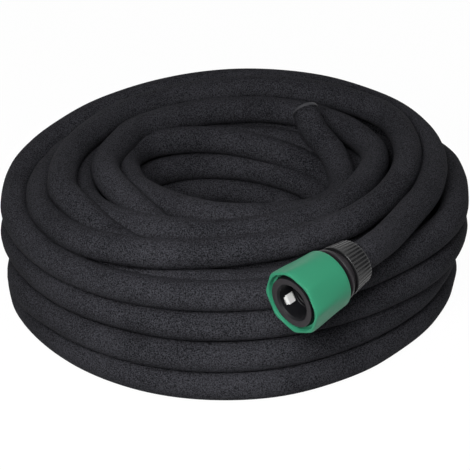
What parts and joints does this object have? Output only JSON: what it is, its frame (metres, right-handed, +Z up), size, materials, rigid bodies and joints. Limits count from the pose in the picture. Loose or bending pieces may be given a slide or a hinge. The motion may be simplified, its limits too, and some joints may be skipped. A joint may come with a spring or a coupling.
{
  "type": "soaker_hose",
  "caption": "Coiled porous black rubber soaker hose with a quick tap connector on its outer end and a stopper in its inner end",
  "frame": {"origin": "centre of the bounding box in X and Y, on the surface the coil lies on", "axes": "+Z up along the coil's axis; -Y towards the side that the connector reaches past; +X to the right seen from there"},
  "size_m": [0.281, 0.3203, 0.0979],
  "materials": {
    "hose": "matt, granular, porous recycled rubber",
    "black_plastic": "satin moulded",
    "green_plastic": "smooth, glossy moulding",
    "pale_plastic": "natural acetal, satin",
    "seal": "smooth seal rubber",
    "spring_steel": "drawn stainless wire"
  },
  "bodies": {
    "hose_and_connector": {"hose_coil": "hose", "hose_lead": "hose", "hose_tail": "hose", "end_plug": "black_plastic", "socket_body": "black_plastic", "tail_body": "black_plastic", "body_seal": "seal", "flow_disc": "pale_plastic", "sleeve_spring": "spring_steel"},
    "sleeve": {"lock_sleeve": "green_plastic"},
    "claw_1": {"lock_claw_1": "pale_plastic"},
    "claw_2": {"lock_claw_2": "pale_plastic"},
    "claw_3": {"lock_claw_3": "pale_plastic"},
    "clamp": {"clamp_ring": "black_plastic"},
    "nut": {"clamp_nut": "black_plastic"}
  },
  "joints": [
    {"name": "sleeve_slide", "type": "slide", "parent": "hose_and_connector", "child": "sleeve", "axis": [0.7089, 0.6893, 0.1495], "range_m": [0, 0.004], "stiffness_N_per_m": 300, "springref_m": -0.004, "deforming": ["sleeve_spring"]},
    {"name": "nut_travel", "type": "slide", "parent": "hose_and_connector", "child": "clamp", "axis": [0.7089, 0.6893, 0.1495], "range_m": [0, 0.006]},
    {"name": "nut_turn", "type": "hinge", "parent": "clamp", "child": "nut", "pos_m": [0.05848, -0.11861, 0.07906], "axis": [0.7089, 0.6893, 0.1495], "range_deg": [0, 720]},
    {"name": "claw_1_swing", "type": "hinge", "parent": "hose_and_connector", "child": "claw_1", "pos_m": [0.02836, -0.13138, 0.06835], "axis": [0.412, -0.2326, -0.881], "range_deg": [0, 8]},
    {"name": "claw_2_swing", "type": "hinge", "parent": "hose_and_connector", "child": "claw_2", "pos_m": [0.04453, -0.14774, 0.06716], "axis": [0.2898, -0.4779, 0.8292], "range_deg": [0, 8]},
    {"name": "claw_3_swing", "type": "hinge", "parent": "hose_and_connector", "child": "claw_3", "pos_m": [0.03504, -0.14239, 0.08745], "axis": [-0.7018, 0.7105, 0.0517], "range_deg": [0, 8]}
  ],
  "couplings": [
    {"joint": "nut_turn", "follows": "nut_travel", "rad_per_m": 2094.4},
    {"joint": "claw_1_swing", "follows": "sleeve_slide", "rad_per_m": 34.903},
    {"joint": "claw_2_swing", "follows": "sleeve_slide", "rad_per_m": 34.903},
    {"joint": "claw_3_swing", "follows": "sleeve_slide", "rad_per_m": 34.903}
  ]
}
